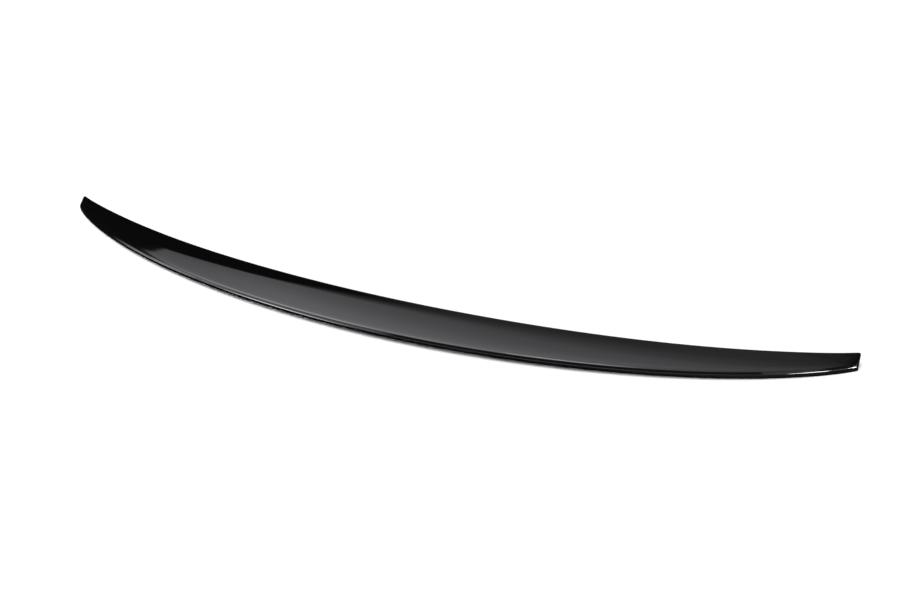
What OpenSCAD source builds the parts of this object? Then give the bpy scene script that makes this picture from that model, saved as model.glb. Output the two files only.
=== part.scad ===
// Rear lip spoiler for a car boot lid: one hollow moulding with a gloss black skin.
// X runs across the car, Y forwards and Z up. It lies on its rear foot, as it would on a bench,
// with the thin front edge raised, and its outline is the same on both sides of X = 0.

/* [Outline from above] */
// Width across the car, end to end
span = 1200; // [1000:10:1400]
// Radius of the rear foot
rear_radius = 1560; // [1300:5:3000]
// Forward sweep of the rear foot at each end, beyond its arc
rear_sweep = 22; // [0:1:40]
// Further sweep that turns the rear foot in at the very ends
corner_sweep = 4.2; // [0:0.1:8]
// Depth from the rear foot to the front edge at the middle
middle_depth = 62.5; // [56:0.5:90]
// Depth from the rear foot to the front edge at each end
end_depth = 15; // [12:0.5:24]
// Share of the narrowing that comes close to the ends
late_taper = 0.22; // [0:0.01:0.4]
// Radius of the four corners of the outline
corner_radius = 1.5; // [1:0.1:4]

/* [Section] */
// Height of the front edge
front_rise = 20; // [15:0.5:24]
// Thickness of the front edge
front_edge = 2; // [1.6:0.1:3]
// Height of the crest at the middle
middle_crest = 14.2; // [12:0.1:19]
// Height of the crest at each end
end_crest = 10.6; // [8:0.1:13]
// How far the lip hangs out behind the foot at the middle
middle_overhang = 10; // [4:0.1:12]
// How far the lip hangs out behind the foot at each end
end_overhang = 1; // [0.5:0.1:3]
// Height of the flat band on the back of the lip
band_height = 3.4; // [2:0.1:5]
// Lean of the band from upright, in degrees
band_lean = 30; // [5:1:40]
// Curve of the dished top, from 1 for straight upwards; it runs out straight at the very ends
dish_power = 1.62; // [1.2:0.02:2.4]
// Extra lift of the top along the crest
kick_height = 0.8; // [0:0.1:2]
// Length over which that lift fades
kick_length = 11; // [5:0.5:16]
// Radius of the crest
crest_radius = 0.9; // [0.3:0.1:1.2]
// Radius of the lower edge of the band
band_radius = 0.7; // [0.3:0.1:1]
// Radius of the back of the foot
foot_radius = 1.2; // [0.5:0.1:1.5]
// Width of the level foot that the part rests on
foot_width = 1.6; // [1:0.1:3]

/* [Underside] */
// Wall thickness of the skin
wall = 2.6; // [2:0.1:3.5]
// Width of the bonding land along the foot
rear_land = 7; // [5:0.5:12]
// Width of the bonding land along the front edge
front_land = 16; // [10:0.5:22]
// Depth of the relief between the two lands
land_relief = 0.6; // [0.4:0.1:1.2]
// Length of the solid at each end
solid_end = 105; // [80:5:160]
// Spacing of the ribs
rib_pitch = 75; // [50:5:110]
// Thickness of a rib
rib_thickness = 2.4; // [1.8:0.1:4]
// Draft of each rib and of the ends of the hollow
rib_draft = 0.8; // [0.5:0.1:2]

/* [Hidden] */

half_span = span / 2;
hollow_half = half_span - solid_end;

// Shortest bay beside a solid end, as a share of the rib spacing
shortest_bay = 1 / 3;
ribs_each_side = floor((hollow_half - rib_pitch * shortest_bay) / rib_pitch);

// Steps of the mesh along a bay, along a solid end, round its corner and over the top
bay_steps = 4;
end_steps = 9;
corner_steps = 4;
top_steps = 12;
roof_steps = 6;

// Shares of the depth that a land and the lift of the crest may take where the section is narrow
land_share = 0.3;
kick_share = 0.4;

// Radius of the two edges of the front, as a share of its thickness
nose_share = 0.4;

// Stretch of the top in front of the crest that its radius is laid against
crest_run = 2;

// Power that draws the points of the top closer together towards the crest
top_spacing = 1.25;

// Share of its radius that the outline's corner goes round before the flat end
corner_reach = 0.995;

// Powers of the curves that bring in the sweep and the taper near the ends
sweep_power = 6;
corner_power = 24;
taper_power = 10;

gloss_black = [0.03, 0.03, 0.035];

// Outline, by place along the span from 0 at the middle to 1 at an end

function sagitta(radius, x) = radius - sqrt(radius * radius - x * x);

function corner_start() = half_span - corner_radius;

// Inset that rounds the corners of the outline
function corner_inset(x) =
    let (past = min(abs(x) - corner_start(), corner_radius * corner_reach))
    past <= 0 ? 0 : sagitta(corner_radius, past);

function place(x) = abs(x) / half_span;

// How far the section has turned plain, from 0 over nearly all the span to 1 at an end
function plainness(x) = pow(place(x), corner_power);

function foot_line(x) =
    sagitta(rear_radius, x)
    + rear_sweep * pow(place(x), sweep_power)
    + corner_sweep * plainness(x)
    + corner_inset(x);

function taper(x) =
    (1 - late_taper) * pow(place(x), 2) + late_taper * pow(place(x), taper_power);

function depth(x) =
    middle_depth - (middle_depth - end_depth) * taper(x) - 2 * corner_inset(x);

function between(middle, end, x) = middle + (end - middle) * pow(place(x), 2);

// Straight seat that lies on the boot lid, from the foot up to the front edge

function seat_start() = foot_radius + foot_width;

function seat_slope(x) = (front_rise - front_edge) / (depth(x) - seat_start());

function seat(x, c) = (c - seat_start()) * seat_slope(x);

// Top of the section: it rises from a dish to the thin front edge and kicks up to the crest

function overhang(x) = between(middle_overhang, end_overhang, x);

function crest(x) = between(middle_crest, end_crest, x);

function crest_line(x) = -overhang(x) + band_height * tan(band_lean);

function kick(x) = kick_height * (1 - plainness(x));

function kick_reach(x) = min(kick_length, depth(x) * kick_share);

function dish_curve(x) = dish_power + (1 - dish_power) * plainness(x);

function dish_height(x) = crest(x) - kick(x) - front_edge - seat(x, crest_line(x));

function top(x, c) =
    let (w = (c - crest_line(x)) / (depth(x) - crest_line(x)),
         k = max(0, 1 - (c - crest_line(x)) / kick_reach(x)))
    seat(x, c) + front_edge + dish_height(x) * pow(1 - w, dish_curve(x)) + kick(x) * k * k;

// Underside between the lands: a pocket under the skin, or only a relief where it is solid

function land(width, x) = min(width, depth(x) * land_share);

function hollow_rear(x) = seat_start() + land(rear_land, x);

function hollow_front(x) = depth(x) - land(front_land, x);

function roof(x, c, solid) =
    let (relief = seat(x, c) + land_relief)
    solid ? relief : max(relief, top(x, c) - wall);

// Arc of a given radius in the corner at b, from the side of a to the side of c

function unit(v) = v / norm(v);

function fillet(a, b, c, radius, steps) =
    let (u = unit(a - b),
         v = unit(c - b),
         half = acos(u * v) / 2,
         centre = b + unit(u + v) * radius / sin(half),
         from = b + u * radius / tan(half) - centre,
         to = b + v * radius / tan(half) - centre)
    [for (i = [0:steps]) centre + unit(from * (steps - i) + to * i) * radius];

// One closed section, from the back of the foot along the underside and back over the top

function section(x, solid) =
    let (d = depth(x),
         c1 = hollow_rear(x),
         c2 = hollow_front(x),
         ck = crest_line(x),
         heel = [0, 0],
         foot_end = [seat_start(), 0],
         nose_low = [d, front_rise - front_edge],
         nose_high = [d, front_rise],
         crest_point = [ck, crest(x)],
         band_point = [-overhang(x), crest(x) - band_height],
         nose_radius = front_edge * nose_share)
    concat(
        fillet(band_point, heel, foot_end, foot_radius, 3),
        [foot_end],
        [[c1, seat(x, c1)]],
        [for (i = [0:roof_steps])
            let (c = c1 + (c2 - c1) * i / roof_steps)
            [c, roof(x, c, solid)]],
        [[c2, seat(x, c2)]],
        fillet([c2, seat(x, c2)], nose_low, nose_high, nose_radius, 2),
        fillet(nose_low, nose_high, [c2, top(x, c2)], nose_radius, 2),
        [for (i = [1:top_steps])
            let (w = pow(1 - i / (top_steps + 1), top_spacing),
                 c = ck + (d - ck) * w)
            [c, top(x, c)]],
        fillet([ck + crest_run, top(x, ck + crest_run)], crest_point, band_point, crest_radius, 3),
        fillet(crest_point, band_point, heel, band_radius, 2)
    );

// Places of the sections along one half: ribs and the ends are solid, bays are hollow

function bay(from, to) =
    [for (i = [0:bay_steps])
        [from + rib_draft + (to - from - 2 * rib_draft) * i / bay_steps, false]];

function rib_pair(x) =
    [[x - rib_thickness / 2, true], [x + rib_thickness / 2, true]];

function rib_and_bay(k) =
    let (from = k * rib_pitch + rib_thickness / 2,
         last = k == ribs_each_side,
         to = last ? hollow_half : (k + 1) * rib_pitch - rib_thickness / 2)
    concat(bay(from, to), last ? [[hollow_half, true]] : rib_pair((k + 1) * rib_pitch));

function end_places() =
    [for (i = [1:end_steps])
        let (w = 1 - pow(1 - i / end_steps, 2))
        [hollow_half + (corner_start() - hollow_half) * w, true]];

function corner_places() =
    [for (i = [1:corner_steps])
        [corner_start() + corner_radius * sin(90 * i / corner_steps), true]];

half_places = concat(
    [[rib_thickness / 2, true]],
    [for (k = [0:ribs_each_side]) each rib_and_bay(k)],
    end_places(),
    corner_places()
);

last_place = len(half_places) - 1;

places = concat(
    [for (i = [last_place:-1:0]) [-half_places[i][0], half_places[i][1]]],
    half_places
);

// The origin is midway between the rearmost and the foremost point of all the sections
reach = [for (p = places, q = section(p[0], p[1])) foot_line(p[0]) + q[0]];
middle_y = (min(reach) + max(reach)) / 2;

function ring(p) =
    [for (q = section(p[0], p[1])) [p[0], foot_line(p[0]) + q[0] - middle_y, q[1]]];

// Skin over rings of equal length, closed by a fan round the middle of each end
module loft(rings) {
    n = len(rings[0]);
    m = len(rings);
    flat = [for (r = rings) each r];
    hub = [for (r = [rings[0], rings[m - 1]]) [for (s = [0, 1, 2]) cap_hub(r, s)]];
    sides = [for (j = [0:m - 2], i = [0:n - 1])
        let (a = j * n + i, b = j * n + (i + 1) % n)
        each [[a, b + n, b], [a, a + n, b + n]]];
    first = [for (i = [0:n - 1]) [i, (i + 1) % n, m * n]];
    last = [for (i = [0:n - 1]) [(m - 1) * n + (i + 1) % n, (m - 1) * n + i, m * n + 1]];
    polyhedron(concat(flat, hub), concat(sides, first, last));
}

function cap_hub(r, s) = (min([for (p = r) p[s]]) + max([for (p = r) p[s]])) / 2;

module spoiler() {
    color(gloss_black) loft([for (p = places) ring(p)]);
}

spoiler();
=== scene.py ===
from math import cos, radians, sin, sqrt

import bmesh
import bpy
from mathutils import Matrix, Vector


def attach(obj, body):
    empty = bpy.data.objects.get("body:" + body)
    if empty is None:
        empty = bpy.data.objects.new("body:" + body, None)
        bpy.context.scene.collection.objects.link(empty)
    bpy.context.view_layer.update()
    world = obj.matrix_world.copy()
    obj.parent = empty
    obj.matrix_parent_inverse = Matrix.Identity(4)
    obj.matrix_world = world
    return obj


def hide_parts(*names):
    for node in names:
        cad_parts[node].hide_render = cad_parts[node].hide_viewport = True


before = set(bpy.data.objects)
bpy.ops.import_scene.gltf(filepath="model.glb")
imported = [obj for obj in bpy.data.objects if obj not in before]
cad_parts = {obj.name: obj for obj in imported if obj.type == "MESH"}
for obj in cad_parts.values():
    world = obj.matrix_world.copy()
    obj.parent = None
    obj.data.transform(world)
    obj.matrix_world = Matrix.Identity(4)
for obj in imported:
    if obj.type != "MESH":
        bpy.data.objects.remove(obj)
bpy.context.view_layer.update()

# The camera looks down on the lip from behind the car, from a little to its right.
# Its place, tilt and turn were worked out from the outline of both halves in the photograph.
CAMERA_AZIMUTH = radians(25.41)
CAMERA_ELEVATION = radians(32.61)
CAMERA_TURN = radians(-2.34)
CAMERA_DISTANCE = 1.746
CAMERA_TARGET = Vector((0.0767, 0.0289, 0.0))
CAMERA_LENS = 50.0
SENSOR_WIDTH = 36.0
to_camera = Vector((
    sin(CAMERA_AZIMUTH) * cos(CAMERA_ELEVATION),
    -cos(CAMERA_AZIMUTH) * cos(CAMERA_ELEVATION),
    sin(CAMERA_ELEVATION),
))
bpy.ops.object.camera_add(location=CAMERA_TARGET + to_camera * CAMERA_DISTANCE)
camera = bpy.context.object
camera.name = "camera"
camera.data.lens = CAMERA_LENS
camera.data.sensor_width = SENSOR_WIDTH
aimed = (-to_camera).to_track_quat("-Z", "Y").to_matrix()
camera.rotation_euler = (aimed @ Matrix.Rotation(CAMERA_TURN, 3, "Z")).to_euler()
bpy.context.scene.camera = camera


# The lip is one moulding in black plastic. Its face comes glossy out of the polished half of the
# mould, and the lands, pockets and ribs below keep the fine grain of the other half.
# Its two lands take the tape that holds it to the boot lid, so its face has no fixings.
MERGE_GAP = 1e-6
QUAD_FOLD = radians(40)
QUAD_SKEW = radians(100)
EDGE_ANGLE = radians(50)
EDGE_CREASE = 0.9
SMOOTH_LEVELS = 2
cad_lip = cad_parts["spoiler"]
bpy.ops.object.select_all(action="DESELECT")
cad_lip.select_set(True)
bpy.context.view_layer.objects.active = cad_lip
bpy.ops.object.duplicate()
lip = bpy.context.object
lip.name = "lip_moulding"
bpy.ops.object.mode_set(mode="EDIT")
bpy.ops.mesh.select_all(action="SELECT")
bpy.ops.mesh.remove_doubles(threshold=MERGE_GAP)
bpy.ops.mesh.tris_convert_to_quads(face_threshold=QUAD_FOLD, shape_threshold=QUAD_SKEW)

# The last rings of points at each end are narrowed and lowered, which rounds its front corner.
CORNER_REACH = 0.004
CORNER_CUT = 0.0022
CORNER_DROP = 0.12
RING_DIGITS = 6
bpy.ops.mesh.select_mode(type="VERT")
points = bmesh.from_edit_mesh(lip.data).verts
half_width = max(point.co.x for point in points)
corner_start = half_width - CORNER_REACH
ring_places = {round(abs(point.co.x), RING_DIGITS) for point in points}
for place in sorted(ring_places):
    if place < corner_start:
        continue
    ring = [point for point in points if round(abs(point.co.x), RING_DIGITS) == place]
    bpy.ops.mesh.select_all(action="DESELECT")
    for point in ring:
        point.select_set(True)
    rear = min(point.co.y for point in ring)
    front = max(point.co.y for point in ring)
    around = min((place - corner_start) / CORNER_REACH, 1.0)
    rounding = 1 - sqrt(1 - around * around)
    narrower = 1 - CORNER_CUT * rounding / (front - rear)
    lower = 1 - CORNER_DROP * rounding
    bpy.ops.transform.resize(value=(1, narrower, lower), center_override=(0, rear, 0))
bpy.ops.mesh.select_all(action="DESELECT")
bpy.ops.mesh.select_mode(type="EDGE")
bpy.ops.mesh.edges_select_sharp(sharpness=EDGE_ANGLE)
bpy.ops.transform.edge_crease(value=EDGE_CREASE)
bpy.ops.object.mode_set(mode="OBJECT")
bpy.context.view_layer.update()

# The grain lies on what looks down, and on what has plastic both above it and to its rear.
UP = (0, 0, 1)
REARWARDS = (0, -1, 0)
FACING_DOWN = -0.85
PROBE_GAP = 0.0002
below = []
for face in lip.data.polygons:
    start = face.center + face.normal * PROBE_GAP
    covered = lip.ray_cast(start, UP)[0]
    closed_behind = lip.ray_cast(start, REARWARDS)[0]
    below.append(face.normal.z < FACING_DOWN or (covered and closed_behind))
gloss = bpy.data.materials.new("gloss_black_plastic")
grained = bpy.data.materials.new("grained_black_plastic")
lip.data.materials.clear()
lip.data.materials.append(gloss)
lip.data.materials.append(grained)
for face, is_below in zip(lip.data.polygons, below):
    face.material_index = 1 if is_below else 0
smooth = lip.modifiers.new("smooth", "SUBSURF")
smooth.levels = SMOOTH_LEVELS
smooth.render_levels = SMOOTH_LEVELS
bpy.ops.object.modifier_apply(modifier="smooth")
bpy.ops.object.shade_smooth_by_angle(angle=EDGE_ANGLE)


class Wire:
    """A socket of a shader; arithmetic on wires adds Math nodes."""

    def __init__(self, socket):
        self.socket = socket
        self.tree = socket.id_data

    def feed(self, value, socket):
        if isinstance(value, Wire):
            self.tree.links.new(value.socket, socket)
        else:
            socket.default_value = value

    def node(self, kind, settings, inputs, output=0):
        made = self.tree.nodes.new(kind)
        for name, value in settings.items():
            setattr(made, name, value)
        for name, value in inputs.items():
            self.feed(value, made.inputs[name])
        return Wire(made.outputs[output])

    def math(self, operation, first, second):
        return self.node("ShaderNodeMath", {"operation": operation}, {0: first, 1: second})

    def __add__(self, other):
        return self.math("ADD", self, other)

    def __radd__(self, other):
        return self.math("ADD", other, self)

    def __sub__(self, other):
        return self.math("SUBTRACT", self, other)

    def __rsub__(self, other):
        return self.math("SUBTRACT", other, self)

    def __mul__(self, other):
        return self.math("MULTIPLY", self, other)

    def __rmul__(self, other):
        return self.math("MULTIPLY", other, self)

    def along(self, vector):
        """How far this place or direction lies along a vector."""
        return self.node(
            "ShaderNodeVectorMath", {"operation": "DOT_PRODUCT"}, {0: self, 1: vector}, "Value",
        )

    def noise(self, scale, detail):
        """A soft cloudy pattern over this place, from 0 to 1."""
        return self.node(
            "ShaderNodeTexNoise", {}, {"Vector": self, "Scale": scale, "Detail": detail},
        )

    def rise(self, low, high, bottom=0.0, top=1.0):
        """A smooth change from bottom to top, while this value goes from low to high."""
        return self.node(
            "ShaderNodeMapRange", {"interpolation_type": "SMOOTHSTEP"},
            {"Value": self, "From Min": low, "From Max": high, "To Min": bottom, "To Max": top},
        )


PLASTIC_IOR = 1.5
HAZE_SCALE = 9.0
HAZE_DETAIL = 3.0
HAZE_RANGE = (0.3, 0.7)
GLOSS_BLACK = (0.0015, 0.0015, 0.0017, 1)
GLOSS_ROUGHNESS = (0.025, 0.05)
PEEL_SCALE = 160.0
PEEL_DETAIL = 1.0
PEEL_HEIGHT = 1.5e-6
GRAIN_BLACK = (0.01, 0.01, 0.0105, 1)
GRAIN_ROUGHNESS = (0.42, 0.55)
GRAIN_SCALE = 900.0
GRAIN_DETAIL = 2.0
GRAIN_HEIGHT = 2.5e-5


def mould_finish(material, colour, roughness, scale, detail, height):
    """Black plastic with a slow haze in its shine and a fine relief in its skin."""
    material.use_nodes = True
    shader = material.node_tree.nodes["Principled BSDF"]
    shader.inputs["Base Color"].default_value = colour
    shader.inputs["IOR"].default_value = PLASTIC_IOR
    place = Wire(material.node_tree.nodes.new("ShaderNodeTexCoord").outputs["Object"])
    haze = place.noise(HAZE_SCALE, HAZE_DETAIL)
    place.feed(haze.rise(*HAZE_RANGE, *roughness), shader.inputs["Roughness"])
    relief = place.noise(scale, detail)
    bumps = place.node("ShaderNodeBump", {}, {"Height": relief, "Distance": height})
    place.feed(bumps, shader.inputs["Normal"])


mould_finish(gloss, GLOSS_BLACK, GLOSS_ROUGHNESS, PEEL_SCALE, PEEL_DETAIL, PEEL_HEIGHT)
mould_finish(grained, GRAIN_BLACK, GRAIN_ROUGHNESS, GRAIN_SCALE, GRAIN_DETAIL, GRAIN_HEIGHT)
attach(lip, "root")
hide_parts("spoiler")


# The floor is a plain sheet of white paper that the lip lies on, and it keeps the lip's shadow.
# The gloss face mirrors it with painted shade: its colour is painted dark for reflections only,
# darkest by the left end.
FLOOR_SIDE = 30.0
RIGHTWARDS = (1, 0, 0)
PAINTED_SHADE_MIRROR_LEVEL = 0.1
PAINTED_SHADE_END_LEVEL = 0.02
PAINTED_SHADE_END_SPAN = (-0.35, -0.1)
bpy.ops.object.select_all(action="DESELECT")
bpy.ops.mesh.primitive_plane_add(size=FLOOR_SIDE, location=(0, 0, 0))
floor = bpy.context.object
floor.name = "floor"
paper = bpy.data.materials.new("white_floor")
paper.use_nodes = True
sheet = paper.node_tree.nodes["Principled BSDF"]
spot = Wire(paper.node_tree.nodes.new("ShaderNodeTexCoord").outputs["Object"])
reflected = Wire(paper.node_tree.nodes.new("ShaderNodeLightPath").outputs["Is Glossy Ray"])
# Painted shade in the mirrored floor: dark for glossy rays, and darker still towards the left
# end
painted_mirror_shade = spot.along(RIGHTWARDS).rise(*PAINTED_SHADE_END_SPAN, PAINTED_SHADE_END_LEVEL, PAINTED_SHADE_MIRROR_LEVEL)
spot.feed(1 - reflected * (1 - painted_mirror_shade), sheet.inputs["Base Color"])
sheet.inputs["Roughness"].default_value = 1.0
sheet.inputs["Specular IOR Level"].default_value = 0.0
floor.data.materials.append(paper)


# The studio is a dark room with a large softbox beyond the lip, which only the gloss face shows.
# The box is brightest low down, ends in a sharp corner on the left and fades out on the right.
# One soft light above, which only matt surfaces take, gives the floor its white and its shadow.

# Directions square to the two edges of the box that meet at its corner, and to its fade
BOX_UPPER_EDGE = (0.3463, 0.8633, -0.367)
BOX_LOWER_EDGE = (0.7893, 0.3243, 0.5213)
BOX_RIGHT_FADE = (0.8468, 0.3884, -0.363)

# Height in degrees, and the level of the box there
BOX_LEVELS = ((18, 1.75), (26, 1.32), (34, 1.3), (45, 1.0), (56, 0.64), (66, 0.48), (78, 0.33))

# Heights in degrees between which the upper edge turns soft, and its blur below and above them
SOFTENING = (42, 60)
SHARP_BLUR = 0.005
SOFT_BLUR = 0.14

# Changes of level: each has the two values that it lies between, and the levels before and after
LOWER_EDGE = (0.002, 0.0045, 0, 1)
CORNER_SHADE = (0, 0.15, 0.62, 1)
RIGHT_FADE = (-0.17, 0.13, 1, 0.2)
LEFT_LIFT = (-0.5, -0.28, 1.04, 0.94)
CEILING = (0.6, 0.95, 0, 0.3)
CEILING_START = (-0.46, -0.3, 0, 1)
CEILING_MIDDLE = (-0.22, -0.05, 1, 1.4)
CEILING_RIGHT = (0.1, 0.24, 1, 0.65)
CEILING_END = (0.28, 0.36, 1, 0.55)
BACK_WALL = (0.1, 0.5, 0, 0.1)
LOW_STRIP = (0.08, 0.14, 6, 0)
STRIP_START = (0.2, 0.5, 0, 1)
OVERHEAD = (0.9, 0.99, 0, 10.5)
WARM_RIGHT = (-0.4, 0.3, 0, 0.06)
COOL_SHARE = 0.045
ROOM_LEVEL = 0.02
OVERHEAD_CENTRE = (0, -0.292, 0.956)

# Side, height and radius of each lamp in degrees, with 0 straight ahead, and its strength
LAMPS = (
    (-17.8, 21, 3.2, 1.6),
    (-31, 18, 5, 0.8),
    (-115, 19, 15, 1.4),
    (-119, 11, 6, 1.6),
    (-124, 36, 10, 3.0),
    (-140, 17, 17, 1.6),
    (-141, 4, 12, 13.0),
    (131.5, 6, 7, 50.0),
    (134, 21, 9, 0.8),
    (113, 1, 5, 110.0),
)
LAMP_CORE = 0.8
world = bpy.data.worlds.new("studio")
bpy.context.scene.world = world
world.use_nodes = True
tree = world.node_tree
towards = Wire(tree.nodes.new("ShaderNodeTexCoord").outputs["Generated"])
paths = tree.nodes.new("ShaderNodeLightPath")
seen = Wire(paths.outputs["Is Camera Ray"])
mirrored = Wire(paths.outputs["Is Glossy Ray"])
height = towards.along(UP)
across = towards.along(RIGHTWARDS)
behind = towards.along(REARWARDS)
level = BOX_LEVELS[0][1]
for (low, bright), (high, dim) in zip(BOX_LEVELS, BOX_LEVELS[1:]):
    level = level - height.rise(sin(radians(low)), sin(radians(high)), 0, bright - dim)
soft_from, soft_to = [sin(radians(angle)) for angle in SOFTENING]
blur = height.rise(soft_from, soft_to, SHARP_BLUR, SOFT_BLUR)
under_edge = towards.along(BOX_UPPER_EDGE).rise(0 - blur, blur)
from_corner = towards.along(BOX_LOWER_EDGE)
past_corner = from_corner.rise(*LOWER_EDGE) * from_corner.rise(*CORNER_SHADE)
fade = towards.along(BOX_RIGHT_FADE).rise(*RIGHT_FADE)
box = level * under_edge * past_corner * fade * across.rise(*LEFT_LIFT)
ceiling = height.rise(*CEILING) * (1 - under_edge) * fade
for change in (CEILING_START, CEILING_MIDDLE, CEILING_RIGHT, CEILING_END):
    ceiling = ceiling * across.rise(*change)
strip = height.rise(*LOW_STRIP) * behind.rise(*STRIP_START)
studio = box + ceiling + ROOM_LEVEL + behind.rise(*BACK_WALL) + strip
for side, above, radius, strength in LAMPS:
    side, above, radius = radians(side), radians(above), radians(radius)
    centre = (sin(side) * cos(above), cos(side) * cos(above), sin(above))
    lamp = towards.along(centre).rise(cos(radius), cos(radius * LAMP_CORE), 0, strength)
    studio = studio + lamp
overhead = towards.along(OVERHEAD_CENTRE).rise(*OVERHEAD)
light = mirrored * studio + (1 - mirrored) * overhead
shown = seen + (1 - seen) * light
red = shown * (1 + mirrored * across.rise(*WARM_RIGHT))
blue = shown * (1 + COOL_SHARE * mirrored)
tinted = towards.node("ShaderNodeCombineColor", {}, {"Red": red, "Green": shown, "Blue": blue})
towards.feed(tinted, tree.nodes["Background"].inputs["Color"])
bpy.context.scene.view_settings.view_transform = "Standard"
